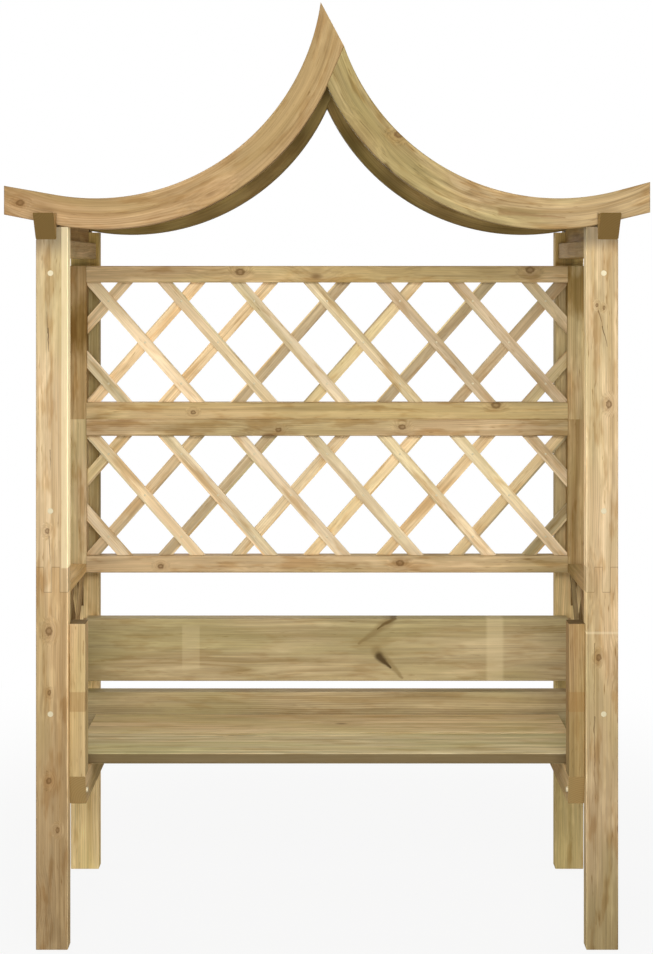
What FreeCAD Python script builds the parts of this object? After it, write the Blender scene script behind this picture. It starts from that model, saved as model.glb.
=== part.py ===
import FreeCAD, Part
import math
import os
import Sketcher

# Arbour seat of planed softwood: two side frames, a pair of pointed arches that sit over
# two purlins, a slatted roof, a trellis back in two panels and a bench of two boards.
# Millimetres. +Z is up, +Y points to the back, and the origin is on the ground in the
# middle of the plan. Left and right are as seen by someone who faces the seat.

# Driving dimensions. Each is written once, here.
SIZES = {
    # Side frames
    "bay_inside": "1136",           # clear width between the left and right posts
    "frame_deep": "600",            # front face of the front posts to back of the rear posts
    "post_wide": "70",              # post, across the seat
    "post_deep": "45",              # post, front to back
    "arris_radius": "3",            # rounded edges of the posts and the bench timbers
    "eased_edge": "2",              # chamfered edges of the rails, slats and arches
    "fit_gap": "0.5",               # play where one timber is cut round another
    "eave_height": "1556",          # ground to the underside of the purlins
    "purlin_wide": "45",
    "purlin_tall": "57",
    "purlin_reach": "45",           # purlin past the posts, along its top edge
    "top_rail_wide": "45",
    "top_rail_tall": "39",
    "top_rail_set_out": "7",        # top rail's inner face, outward of the posts' inner faces
    "side_stock_wide": "45",        # batten, arm rail and low rail, across the seat
    "batten_thick": "34",
    "arm_rail_tall": "22",
    "low_rail_low": "496",          # ground to the underside of the low side rail
    "low_rail_tall": "40",
    # Arches, each of two halves; rises are measured from the eave height
    "arch_thick": "45",
    "arch_overhang": "70",          # tail of the arch, past the outer face of the posts
    "upper_low_height": "90",       # lowest place of the arch's upper edge
    "lower_low_height": "22",       # lowest place of the arch's lower edge
    "apex_height": "520",           # tip of the left half
    "inner_apex_height": "337",     # where the lower edges meet
    "seam_height": "423",           # where the right half's upper edge meets the left half
    "apex_set_out": "14",           # the left tip, outward of the middle
    "upper_centre_set_in": "60",    # centre of the upper curve, inward of the posts
    "lower_centre_set_in": "78",    # centre of the lower curve, inward of the posts
    "upper_tail_lean_left": "10",   # degrees; the tail runs straight on from the curve
    "lower_tail_lean_left": "11",
    "upper_tail_lean_right": "15",  # the right tails turn up a little more
    "lower_tail_lean_right": "13.5",
    "plain_tip_wide": "56",         # no eased edges closer to the middle than this
    # Roof slats between the arches
    "slat_wide": "70",
    "slat_thick": "20",
    "slat_sink": "3",               # slat's face below the arch's upper edge
    "slat_count": "6",              # on each side
    "slat_first_turn": "8",         # degrees, outward of the curve's lowest place
    "slat_step": "15.4",            # degrees
    # Trellis back
    "panel_low": "744",             # ground to the underside of the lower panel
    "panel_thick": "45",
    "panel_drop": "17",             # clear height between the top rail and the upper panel
    "stile_wide": "45",
    "panel_rail_tall": "41",
    "tenon_thick": "12",
    "tenon_long": "25",
    "tenon_shoulder": "8",
    "lath_wide": "28",
    "lath_thick": "8",
    "lath_pitch": "180",            # along the rails
    "lath_lean": "48.6",            # degrees from the rails
    "side_lath_set_out": "5",       # side laths, outward of the low rail's inner face
    # Back boards
    "board_tall": "154",
    "board_thick": "45",
    "back_board_low": "477",
    "lower_board_low": "296",
    # Bench
    "seat_height": "398",
    "seat_back_gap": "9",           # between the rear seat board and the lower back board
    "seat_board_thick": "24",
    "seat_board_gap": "4",
    "seat_set_back": "125",         # front edge of the seat, behind the posts' front faces
    "seat_arris_radius": "5",
    "bearer_thick": "36",
    "bearer_tall": "65",
    "bearer_set_back": "20",
    "bearer_undercut": "20",
    "upright_thick": "36",
    "upright_deep": "52",
    "upright_set_back": "20",
    "upright_top": "710",
    # Screws that hold the side battens, and bolts that hold the bearers
    "screw_head": "12",
    "screw_head_thick": "4",
    "screw_shank": "5",
    "screw_bite": "25",             # length in the batten
    "screw_play": "0.3",
    "screw_set_in": "13",           # from the batten's inner edge
    "top_screw_drop": "35",         # from the underside of the top rail
    "middle_screw_height": "961",
    "low_screw_lift": "20",         # from the underside of the low rail
    "bolt_head": "12",
    "bolt_head_thick": "4",
    "bolt_shank": "6",
    "bolt_bite": "45",              # length in the post
    "bolt_set_back": "38",          # from the outer face of the post, front or back
    "bolt_lift": "32",              # from the bearer's underside
}

doc = FreeCAD.newDocument("ArbourSeat")
sheet = doc.addObject("Spreadsheet::Sheet", "Sizes")
for row, (name, number) in enumerate(SIZES.items(), start=1):
    sheet.set("A%d" % row, number)
    sheet.setAlias("A%d" % row, name)
doc.recompute()

LEFT, RIGHT = -1, 1
FRONT, REAR = "front", "rear"
SIDE_NAMES = {LEFT: "left", RIGHT: "right"}
X_WAY = FreeCAD.Vector(1, 0, 0)
Y_WAY = FreeCAD.Vector(0, 1, 0)
Z_WAY = FreeCAD.Vector(0, 0, 1)
ALONG = 0.999       # least cosine between an edge and the direction it is said to run along
ACROSS = 0.001      # largest cosine between an edge and the direction it is said to cross
LEAST_CUT = 1       # cubic millimetres that every pocket has to remove


class Term:
    """A value worked out from the sheet: its expression, and what it comes to now."""

    def __init__(self, text, value):
        self.text = text
        self.value = value

    def __add__(self, other):
        other = term(other)
        return Term("(%s + %s)" % (self.text, other.text), self.value + other.value)

    def __sub__(self, other):
        other = term(other)
        return Term("(%s - %s)" % (self.text, other.text), self.value - other.value)

    def __mul__(self, other):
        other = term(other)
        return Term("(%s * %s)" % (self.text, other.text), self.value * other.value)

    def __truediv__(self, other):
        other = term(other)
        return Term("(%s / %s)" % (self.text, other.text), self.value / other.value)

    def __neg__(self):
        return Term("(0 - %s)" % self.text, -self.value)


def term(value):
    """A plain number as a Term; a Term stays as it is."""
    if isinstance(value, Term):
        return value
    return Term("(%g)" % value, float(value))


def root(value):
    return Term("sqrt(%s)" % value.text, math.sqrt(value.value))


def whole(value):
    return Term("floor(%s)" % value.text, float(math.floor(value.value)))


def in_degrees(value):
    return Term("(%s * 1 deg)" % value.text, value.value)


def tangent(degrees):
    return Term("tan(%s)" % in_degrees(degrees).text, math.tan(math.radians(degrees.value)))


class SheetTerms:
    """The sheet's cells as Terms, by their aliases."""

    def __getattr__(self, alias):
        return Term("Sizes.%s" % alias, float(sheet.get(alias)))


s = SheetTerms()
ZERO = term(0)

# Places that several pieces share
post_inner = s.bay_inside / 2
post_outer = post_inner + s.post_wide
front_face = -(s.frame_deep / 2)
rear_face = s.frame_deep / 2
between_posts_front = front_face + s.post_deep
between_posts_rear = rear_face - s.post_deep
purlin_inner = post_outer - s.purlin_wide
purlin_top = s.eave_height + s.purlin_tall
top_rail_low = s.eave_height - s.top_rail_tall
side_inner = post_outer - s.side_stock_wide
batten_back = between_posts_front + s.batten_thick
low_rail_top = s.low_rail_low + s.low_rail_tall
stile_inner = post_outer - s.stile_wide
panel_front = between_posts_rear - s.panel_thick
panel_tall = (top_rail_low - s.panel_drop - s.panel_low) / 2
panel_opening = panel_tall - s.panel_rail_tall * 2
bearer_top = s.seat_height - s.seat_board_thick
bearer_low = bearer_top - s.bearer_tall
bearer_inner = post_inner - s.bearer_thick
boards_front = between_posts_rear - s.board_thick
seat_front = front_face + s.seat_set_back
seat_deep = boards_front - s.seat_back_gap - seat_front
seat_board_wide = (seat_deep - s.seat_board_gap) / 2

# The arch's curves: each is a circle whose lowest place and whose end are known
upper_centre_out = post_inner - s.upper_centre_set_in
lower_centre_out = post_inner - s.lower_centre_set_in
upper_span = upper_centre_out - s.apex_set_out
upper_climb = s.apex_height - s.upper_low_height
lower_climb = s.inner_apex_height - s.lower_low_height
upper_radius = (upper_span * upper_span + upper_climb * upper_climb) / (upper_climb * 2)
lower_radius = (lower_centre_out * lower_centre_out + lower_climb * lower_climb) / (lower_climb * 2)
upper_centre_rise = s.upper_low_height + upper_radius
lower_centre_rise = s.lower_low_height + lower_radius

# The two ways an edge is finished
ROUNDED = ("Fillet", "Radius", s.arris_radius)
SEAT_ROUNDED = ("Fillet", "Radius", s.seat_arris_radius)
EASED = ("Chamfer", "Size", s.eased_edge)

screw_out = side_inner + s.screw_set_in
screw_heights = [
    s.low_rail_low + s.low_screw_lift,
    s.middle_screw_height,
    top_rail_low - s.top_screw_drop,
]
bolt_height = bearer_low + s.bolt_lift


def bind(thing, path, value):
    thing.setExpression(path, term(value).text)


def place(thing, x, y, z):
    """Puts an object's own origin at x, y, z."""
    for axis, value in zip("xyz", (x, y, z)):
        bind(thing, "Placement.Base.%s" % axis, value)


def new_body(label, x, y, z):
    body = doc.addObject("PartDesign::Body", "".join(word.title() for word in label.split("_")))
    body.Label = label
    place(body, x, y, z)
    return body


def origin_feature(body, role):
    return [feature for feature in body.Origin.OriginFeatures if feature.Role == role][0]


def new_sketch(body, role):
    sketch = body.newObject("Sketcher::SketchObject", body.Name + "Sketch")
    sketch.AttachmentSupport = [(origin_feature(body, role), "")]
    sketch.MapMode = "FlatFace"
    return sketch


def hold(sketch, kind, geometry, point, value):
    """Holds a point of the sketch at a bound distance from the sketch's origin."""
    if value.value == 0:
        axis = -2 if kind == "DistanceX" else -1
        sketch.addConstraint(Sketcher.Constraint("PointOnObject", geometry, point, axis))
        return
    number = sketch.addConstraint(Sketcher.Constraint(kind, -1, 1, geometry, point, value.value))
    bind(sketch, "Constraints[%d]" % number, value)


def draw_polygon(sketch, corners):
    """Closes straight lines through the corners, each held by its two distances."""
    corners = [(term(x), term(y)) for x, y in corners]
    points = [FreeCAD.Vector(x.value, y.value, 0) for x, y in corners]
    first = sketch.GeometryCount
    for index, point in enumerate(points):
        after = points[(index + 1) % len(points)]
        sketch.addGeometry(Part.LineSegment(point, after), False)
    for index in range(len(points)):
        after = (index + 1) % len(points)
        sketch.addConstraint(Sketcher.Constraint("Coincident", first + index, 2, first + after, 1))
    for index, (x, y) in enumerate(corners):
        hold(sketch, "DistanceX", first + index, 1, x)
        hold(sketch, "DistanceY", first + index, 1, y)


def draw_rectangle(sketch, x_low, y_low, x_high, y_high):
    draw_polygon(sketch, [(x_low, y_low), (x_high, y_low), (x_high, y_high), (x_low, y_high)])


def draw_circle(sketch, x, y, diameter):
    number = sketch.GeometryCount
    x, y = term(x), term(y)
    centre = FreeCAD.Vector(x.value, y.value, 0)
    sketch.addGeometry(Part.Circle(centre, Z_WAY, diameter.value / 2), False)
    hold(sketch, "DistanceX", number, 3, x)
    hold(sketch, "DistanceY", number, 3, y)
    size = sketch.addConstraint(Sketcher.Constraint("Diameter", number, diameter.value))
    bind(sketch, "Constraints[%d]" % size, diameter)


def pad(body, sketch, length, backwards=False):
    feature = body.newObject("PartDesign::Pad", body.Name + "Pad")
    feature.Profile = sketch
    feature.Reversed = backwards
    bind(feature, "Length", length)
    return feature


def pocket(body, sketch, depth, backwards=False):
    feature = body.newObject("PartDesign::Pocket", body.Name + "Pocket")
    feature.Profile = sketch
    feature.Reversed = backwards
    bind(feature, "Length", depth)
    return feature


def dress_edges(body, feature, names, edges):
    """Rounds or chamfers the named edges: ROUNDED, EASED or SEAT_ROUNDED."""
    kind, size_name, size = edges
    dressed = body.newObject("PartDesign::" + kind, body.Name + kind)
    dressed.Base = (feature, names)
    bind(dressed, size_name, size)
    return dressed


def dress_arrises(body, feature, way, edges):
    """Rounds or chamfers the feature's edges that run along the given direction."""
    doc.recompute()
    names = []
    for number, edge in enumerate(feature.Shape.Edges, start=1):
        if abs(edge.tangentAt(edge.FirstParameter).dot(way)) > ALONG:
            names.append("Edge%d" % number)
    return dress_edges(body, feature, names, edges)


def upright_timber(label, side, x, y, z, wide, deep, tall, edges):
    """A timber that stands up, its section drawn from the side nearest the middle."""
    body = new_body(label, x * side, y, z)
    sketch = new_sketch(body, "XY_Plane")
    draw_rectangle(sketch, 0, 0, wide * side, deep)
    dress_arrises(body, pad(body, sketch, tall), Z_WAY, edges)
    return body


def front_to_back_timber(label, side, x, y, outline, wide, edges):
    """A timber that runs front to back: its side outline, padded outward."""
    body = new_body(label, x * side, y, 0)
    sketch = new_sketch(body, "YZ_Plane")
    draw_polygon(sketch, outline)
    feature = pad(body, sketch, wide, backwards=side == LEFT)
    dress_arrises(body, feature, Y_WAY, edges)
    return body


def cross_timber(label, y, z, half_long, deep, tall, edges):
    """A timber that runs from left to right, centred on the middle."""
    body = new_body(label, -half_long, y, z)
    sketch = new_sketch(body, "YZ_Plane")
    draw_rectangle(sketch, 0, 0, deep, tall)
    dress_arrises(body, pad(body, sketch, half_long * 2), X_WAY, edges)
    return body


def make_post(side, row):
    """A post, notched at the top for the purlin and bored for the screws and the bolt."""
    label = "%s_post_%s" % (row, SIDE_NAMES[side])
    y = front_face if row == FRONT else between_posts_rear
    outward = post_inner - lower_centre_out
    arch_underside = lower_centre_rise - root(lower_radius * lower_radius - outward * outward)
    tall = s.eave_height + arch_underside - s.fit_gap
    body = upright_timber(label, side, post_inner, y, ZERO, s.post_wide, s.post_deep, tall, ROUNDED)
    notch = new_sketch(body, "XZ_Plane")
    draw_rectangle(notch, (s.post_wide - s.purlin_wide) * side, s.eave_height,
                   (s.post_wide + s.fit_gap) * side, tall + s.fit_gap)
    pocket(body, notch, s.post_deep)
    if row == FRONT:
        heads = new_sketch(body, "XZ_Plane")
        shanks = new_sketch(body, "XZ_Plane")
        for height in screw_heights:
            draw_circle(heads, (screw_out - post_inner) * side, height, s.screw_head + s.screw_play)
            draw_circle(shanks, (screw_out - post_inner) * side, height, s.screw_shank + s.screw_play)
        pocket(body, heads, s.screw_head_thick)
        pocket(body, shanks, s.post_deep)
    bore = new_sketch(body, "YZ_Plane")
    bolt_in = s.bolt_set_back if row == FRONT else s.post_deep - s.bolt_set_back
    draw_circle(bore, bolt_in, bolt_height, s.bolt_shank + s.screw_play)
    pocket(body, bore, s.bolt_bite + s.screw_play, backwards=side == RIGHT)


def make_purlin(side):
    """A purlin over the side frame, undercut at both ends."""
    outline = [
        (-s.purlin_reach, purlin_top),
        (s.frame_deep + s.purlin_reach, purlin_top),
        (s.frame_deep, s.eave_height),
        (ZERO, s.eave_height),
    ]
    front_to_back_timber("purlin_" + SIDE_NAMES[side], side, purlin_inner, front_face, outline,
                         s.purlin_wide, EASED)


def side_rail(label, side, x, y_low, y_high, z_low, z_high, wide):
    outline = [(ZERO, z_low), (y_high - y_low, z_low), (y_high - y_low, z_high), (ZERO, z_high)]
    front_to_back_timber(label + "_" + SIDE_NAMES[side], side, x, y_low, outline, wide, EASED)


def make_side_rails(side):
    """The rails of one side frame: top rail, arm rail and low rail."""
    side_rail("side_top_rail", side, post_inner + s.top_rail_set_out, between_posts_front,
              between_posts_rear, top_rail_low, s.eave_height, s.top_rail_wide)
    side_rail("side_arm_rail", side, side_inner, batten_back, panel_front,
              s.panel_low, s.panel_low + s.arm_rail_tall, s.side_stock_wide)
    side_rail("side_low_rail", side, side_inner, batten_back, between_posts_rear,
              s.low_rail_low, low_rail_top, s.side_stock_wide)


def make_batten(side):
    """The batten behind the front post, with pilot holes for its three screws."""
    body = upright_timber("side_batten_" + SIDE_NAMES[side], side, side_inner, between_posts_front,
                          s.low_rail_low, s.side_stock_wide, s.batten_thick,
                          top_rail_low - s.low_rail_low, EASED)
    holes = new_sketch(body, "XZ_Plane")
    for height in screw_heights:
        draw_circle(holes, s.screw_set_in * side, height - s.low_rail_low, s.screw_shank + s.screw_play)
    pocket(body, holes, s.screw_bite + s.screw_play)


def slanted_laths(label, role, centre, low, half_long, tall, lean, depth_place, outward):
    """Laths between two rails: one slanted lath, repeated along the rails, and cut off at
    the ends of the opening. A lean of 1 climbs towards the far end, and -1 the other way.
    The laths lie in the XZ plane, or in the YZ plane for a side frame."""
    run = tall / tangent(s.lath_lean)
    cut_wide = s.lath_wide * root(run * run + tall * tall) / tall
    half_count = whole((half_long + run / 2) / s.lath_pitch + 0.5)
    first_middle = -((half_count - 0.5) * s.lath_pitch)
    foot = first_middle - run / 2 * lean - cut_wide / 2
    head = first_middle + run / 2 * lean - cut_wide / 2
    in_side_frame = role == "YZ_Plane"
    if in_side_frame:
        corner = (depth_place, centre, low)
    else:
        corner = (centre, depth_place, low)
    body = new_body(label + "_row", *corner)
    body.AllowCompound = True
    sketch = new_sketch(body, role)
    draw_polygon(sketch, [(foot, 0), (foot + cut_wide, 0), (head + cut_wide, tall), (head, tall)])
    backwards = outward == LEFT if in_side_frame else True
    lath = pad(body, sketch, s.lath_thick, backwards)
    row = body.newObject("PartDesign::LinearPattern", body.Name + "Pattern")
    row.Originals = [lath]
    row.Direction = (origin_feature(body, "Y_Axis" if in_side_frame else "X_Axis"), [""])
    bind(row, "Length", (half_count * 2 - 1) * s.lath_pitch)
    bind(row, "Occurrences", half_count * 2)
    body.Tip = row
    opening = doc.addObject("Part::Box", body.Name + "Opening")
    bind(opening, "Height", tall)
    if in_side_frame:
        start = depth_place if outward == RIGHT else depth_place - s.lath_thick
        bind(opening, "Length", s.lath_thick)
        bind(opening, "Width", half_long * 2)
        place(opening, start, centre - half_long, low)
    else:
        bind(opening, "Length", half_long * 2)
        bind(opening, "Width", s.lath_thick)
        place(opening, centre - half_long, depth_place, low)
    laths = doc.addObject("Part::Common", body.Name + "Laths")
    laths.Base = body
    laths.Tool = opening
    laths.Label = label
    return laths


def make_side_laths(side):
    """The lattice of one side frame, below the arm rail: two crossing layers of laths."""
    name = SIDE_NAMES[side]
    centre = (batten_back + between_posts_rear) / 2
    half_long = (between_posts_rear - batten_back) / 2
    tall = s.panel_low - low_rail_top
    inner = side_inner + s.side_lath_set_out
    outer = inner + s.lath_thick
    return [
        slanted_laths("side_laths_inner_" + name, "YZ_Plane", centre, low_rail_top, half_long,
                      tall, 1, inner * side, side),
        slanted_laths("side_laths_outer_" + name, "YZ_Plane", centre, low_rail_top, half_long,
                      tall, -1, outer * side, side),
    ]


def draw_arch_half(sketch, left_half):
    """Outline of a half arch that rises towards the middle, in the right half's own sense:
    tail, lower curve, cut at the middle, upper curve, tail. The left half runs on past the
    middle to its own tip, and the right half butts against it along the seam."""
    tip_out = post_outer + s.arch_overhang
    lift = upper_centre_rise - s.seam_height
    seam_out = upper_centre_out - root(upper_radius * upper_radius - lift * lift)
    seam_top = (-seam_out if left_half else seam_out, s.seam_height)
    tip = (s.apex_set_out, s.apex_height)
    inner = (ZERO, s.inner_apex_height)
    upper_end = tip if left_half else seam_top
    upper_lean = s.upper_tail_lean_left if left_half else s.upper_tail_lean_right
    lower_lean = s.lower_tail_lean_left if left_half else s.lower_tail_lean_right

    def tail_meeting(centre_out, centre_rise, radius, lean):
        slope = tangent(lean)
        length = root(slope * slope + 1)
        return centre_out + radius * slope / length, centre_rise - radius / length, slope

    low_x, low_y, low_slope = tail_meeting(lower_centre_out, lower_centre_rise, lower_radius,
                                           lower_lean)
    up_x, up_y, up_slope = tail_meeting(upper_centre_out, upper_centre_rise, upper_radius,
                                        upper_lean)
    tip_low = (tip_out, low_y + (tip_out - low_x) * low_slope)
    tip_up = (tip_out, up_y + (tip_out - up_x) * up_slope)

    def vector(corner):
        return FreeCAD.Vector(corner[0].value, corner[1].value, 0)

    def arc(centre_out, centre_rise, radius, start, finish):
        centre = FreeCAD.Vector(centre_out.value, centre_rise.value, 0)
        circle = Part.Circle(centre, Z_WAY, radius.value)
        angles = [math.atan2(p.y - centre.y, p.x - centre.x) for p in (vector(start), vector(finish))]
        return Part.ArcOfCircle(circle, angles[0], angles[1])

    # Line 0 is the lower tail, 1 the tail's end, 2 the upper tail; arcs 3 and 4 run
    # anticlockwise from the middle to the tail; lines 5 and 6 are the cuts at the middle.
    low_meeting = (low_x, low_y)
    up_meeting = (up_x, up_y)
    sketch.addGeometry(Part.LineSegment(vector(low_meeting), vector(tip_low)), False)
    sketch.addGeometry(Part.LineSegment(vector(tip_low), vector(tip_up)), False)
    sketch.addGeometry(Part.LineSegment(vector(tip_up), vector(up_meeting)), False)
    sketch.addGeometry(arc(upper_centre_out, upper_centre_rise, upper_radius, upper_end, up_meeting), False)
    sketch.addGeometry(arc(lower_centre_out, lower_centre_rise, lower_radius, inner, low_meeting), False)
    if left_half:
        sketch.addGeometry(Part.LineSegment(vector(tip), vector(seam_top)), False)
    sketch.addGeometry(Part.LineSegment(vector(seam_top), vector(inner)), False)
    last = sketch.GeometryCount - 1

    joins = [(0, 2, 1, 1), (1, 2, 2, 1), (2, 2, 3, 2), (4, 2, 0, 1), (last, 2, 4, 1)]
    if left_half:
        joins += [(3, 1, 5, 1), (5, 2, last, 1)]
    else:
        joins += [(3, 1, last, 1)]
    for join in joins:
        sketch.addConstraint(Sketcher.Constraint("Coincident", *join))
    for geometry, point, corner in [(0, 1, low_meeting), (0, 2, tip_low), (2, 1, tip_up),
                                    (2, 2, up_meeting), (last, 2, inner), (last, 1, seam_top)]:
        hold(sketch, "DistanceX", geometry, point, corner[0])
        hold(sketch, "DistanceY", geometry, point, corner[1])
    if left_half:
        hold(sketch, "DistanceX", 5, 1, tip[0])
        hold(sketch, "DistanceY", 5, 1, tip[1])
    for geometry, radius in [(3, upper_radius), (4, lower_radius)]:
        number = sketch.addConstraint(Sketcher.Constraint("Radius", geometry, radius.value))
        bind(sketch, "Constraints[%d]" % number, radius)


def make_arch_half(side, row):
    """Half of an arch, cut out underneath to sit over the purlin. The left half is drawn
    in the right half's sense and turned round."""
    left_half = side == LEFT
    front = front_face if row == FRONT else rear_face - s.arch_thick
    y = front + s.arch_thick if left_half else front
    body = new_body("%s_arch_%s" % (row, SIDE_NAMES[side]), ZERO, y, s.eave_height)
    if left_half:
        body.Placement = FreeCAD.Placement(body.Placement.Base, FreeCAD.Rotation(Z_WAY, 180))
    sketch = new_sketch(body, "XZ_Plane")
    draw_arch_half(sketch, left_half)
    blank = pad(body, sketch, s.arch_thick, backwards=True)
    doc.recompute()
    names = []
    for number, edge in enumerate(blank.Shape.Edges, start=1):
        middle = edge.valueAt((edge.FirstParameter + edge.LastParameter) / 2)
        on_a_face = abs(edge.tangentAt(edge.FirstParameter).dot(Y_WAY)) < ACROSS
        if on_a_face and middle.x > s.plain_tip_wide.value:
            names.append("Edge%d" % number)
    dress_edges(body, blank, names, EASED)
    notch = new_sketch(body, "XZ_Plane")
    draw_rectangle(notch, purlin_inner - s.fit_gap, -s.fit_gap,
                   purlin_inner + s.purlin_wide + s.fit_gap, s.purlin_tall)
    pocket(body, notch, s.arch_thick)


def make_roof_slats(side):
    """The slats of one side of the roof, from arch to arch, turned about the centre of the
    arch's upper curve."""
    name = "roof_slats_" + SIDE_NAMES[side]
    body = new_body(name, upper_centre_out * side, front_face + s.arch_thick,
                    s.eave_height + upper_centre_rise)
    body.Placement = FreeCAD.Placement(body.Placement.Base, FreeCAD.Rotation(Y_WAY, 1))
    bind(body, "Placement.Rotation.Angle", in_degrees(s.slat_first_turn * -side))
    body.AllowCompound = True
    sketch = new_sketch(body, "XZ_Plane")
    face = upper_radius + s.slat_sink
    draw_rectangle(sketch, -(s.slat_wide / 2), -(face + s.slat_thick), s.slat_wide / 2, -face)
    slat = pad(body, sketch, s.frame_deep - s.arch_thick * 2, backwards=True)
    eased = dress_arrises(body, slat, Y_WAY, EASED)
    row = body.newObject("PartDesign::PolarPattern", body.Name + "Pattern")
    row.Originals = [slat, eased]
    row.Axis = (origin_feature(body, "Y_Axis"), [""])
    row.Reversed = side == LEFT
    bind(row, "Angle", in_degrees(s.slat_step * (s.slat_count - 1)))
    bind(row, "Occurrences", s.slat_count)
    body.Tip = row


def make_stile(label, side, low):
    """A stile of a trellis panel, mortised near both ends for the rails' tenons."""
    body = upright_timber(label, side, stile_inner, panel_front, low, s.stile_wide,
                          s.panel_thick, panel_tall, EASED)
    mortises = new_sketch(body, "YZ_Plane")
    front = (s.panel_thick - s.tenon_thick) / 2
    back = front + s.tenon_thick
    tenon_tall = s.panel_rail_tall - s.tenon_shoulder
    draw_rectangle(mortises, front, s.tenon_shoulder, back, s.tenon_shoulder + tenon_tall)
    draw_rectangle(mortises, front, panel_tall - s.tenon_shoulder - tenon_tall,
                   back, panel_tall - s.tenon_shoulder)
    pocket(body, mortises, s.tenon_long + s.fit_gap, backwards=side == RIGHT)


def make_panel_rail(label, low, at_top):
    """A rail of a trellis panel, with a stub tenon at each end."""
    body = cross_timber(label, panel_front, low, stile_inner, s.panel_thick,
                        s.panel_rail_tall, EASED)
    front = (s.panel_thick - s.tenon_thick) / 2
    tenon_low = ZERO if at_top else s.tenon_shoulder
    tenon_tall = s.panel_rail_tall - s.tenon_shoulder
    for length, backwards in [(s.tenon_long, True), (stile_inner * 2 + s.tenon_long, False)]:
        tenon = new_sketch(body, "YZ_Plane")
        draw_rectangle(tenon, front, tenon_low, front + s.tenon_thick, tenon_low + tenon_tall)
        pad(body, tenon, length, backwards)


def make_trellis_panel(name, low):
    """A framed trellis panel of the back: stiles, rails and two crossing layers of laths."""
    for side in (LEFT, RIGHT):
        make_stile("%s_stile_%s" % (name, SIDE_NAMES[side]), side, low)
    opening_low = low + s.panel_rail_tall
    make_panel_rail(name + "_bottom_rail", low, False)
    make_panel_rail(name + "_top_rail", opening_low + panel_opening, True)
    middle = panel_front + s.panel_thick / 2
    return [
        slanted_laths(name + "_laths_front", "XZ_Plane", ZERO, opening_low, stile_inner,
                      panel_opening, -1, middle - s.lath_thick, RIGHT),
        slanted_laths(name + "_laths_back", "XZ_Plane", ZERO, opening_low, stile_inner,
                      panel_opening, 1, middle, RIGHT),
    ]


def make_back_boards():
    """The two solid boards below the trellis; the lower one is cut out over the bearers."""
    cross_timber("back_board", boards_front, s.back_board_low, stile_inner, s.board_thick,
                 s.board_tall, ROUNDED)
    body = cross_timber("lower_back_board", boards_front, s.lower_board_low, stile_inner,
                        s.board_thick, s.board_tall, ROUNDED)
    notches = new_sketch(body, "XZ_Plane")
    for side in (LEFT, RIGHT):
        edges = [bearer_inner - s.fit_gap, post_inner + s.fit_gap]
        draw_rectangle(notches, stile_inner + edges[0] * side, -s.fit_gap,
                       stile_inner + edges[1] * side, bearer_top - s.lower_board_low + s.fit_gap)
    pocket(body, notches, s.board_thick)


def make_bench():
    """The bench: a bearer and an upright on each side, and two seat boards."""
    for side in (LEFT, RIGHT):
        name = SIDE_NAMES[side]
        long = s.frame_deep - s.bearer_set_back
        outline = [
            (s.bearer_undercut, bearer_low),
            (long, bearer_low),
            (long, bearer_top),
            (ZERO, bearer_top),
        ]
        bearer = front_to_back_timber("seat_bearer_" + name, side, bearer_inner,
                                      front_face + s.bearer_set_back, outline,
                                      s.bearer_thick, ROUNDED)
        bore = new_sketch(bearer, "YZ_Plane")
        for place_in in (s.bolt_set_back - s.bearer_set_back, long - s.bolt_set_back):
            draw_circle(bore, place_in, bolt_height, s.bolt_shank + s.screw_play)
        pocket(bearer, bore, s.bearer_thick, backwards=side == RIGHT)
        upright_timber("bench_upright_" + name, side, post_inner - s.upright_thick,
                       front_face + s.upright_set_back, bearer_top, s.upright_thick,
                       s.upright_deep, s.upright_top - bearer_top, ROUNDED)
    pitch = seat_board_wide + s.seat_board_gap
    for number, name in enumerate(("seat_board_front", "seat_board_rear")):
        cross_timber(name, seat_front + pitch * number, bearer_top, post_inner,
                     seat_board_wide, s.seat_board_thick, SEAT_ROUNDED)


def turned_pin(name, head, head_thick, shank, shank_long, way, x, y, z):
    """A fastener: a flat head with a shank behind it, pointing along the given direction.
    Its origin is in the middle of the head's outer face."""
    turn = FreeCAD.Rotation(Z_WAY, way)
    parts = []
    for part_name, diameter, length in [("Head", head, head_thick),
                                        ("Shank", shank, head_thick + shank_long)]:
        cylinder = doc.addObject("Part::Cylinder", name + part_name)
        bind(cylinder, "Radius", diameter / 2)
        bind(cylinder, "Height", length)
        cylinder.Placement = FreeCAD.Placement(FreeCAD.Vector(), turn)
        place(cylinder, x, y, z)
        parts.append(cylinder)
    pin = doc.addObject("Part::MultiFuse", name)
    pin.Shapes = parts
    return pin


def make_fasteners():
    """The screws through the front posts into the battens, sunk flush, and the bolts
    through the bearers into the posts."""
    screws = []
    bolts = []
    for side in (LEFT, RIGHT):
        for height in screw_heights:
            screws.append(turned_pin(
                "Screw", s.screw_head, s.screw_head_thick, s.screw_shank,
                s.post_deep - s.screw_head_thick + s.screw_bite, Y_WAY,
                screw_out * side, front_face, height))
        for y in (front_face + s.bolt_set_back, rear_face - s.bolt_set_back):
            bolts.append(turned_pin(
                "Bolt", s.bolt_head, s.bolt_head_thick, s.bolt_shank,
                s.bearer_thick + s.bolt_bite, X_WAY * side,
                (bearer_inner - s.bolt_head_thick) * side, y, bolt_height))
    groups = []
    for label, pins in (("post_screws", screws), ("bearer_bolts", bolts)):
        group = doc.addObject("Part::Compound", label.title().replace("_", ""))
        group.Links = pins
        group.Label = label
        groups.append(group)
    return groups


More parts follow.
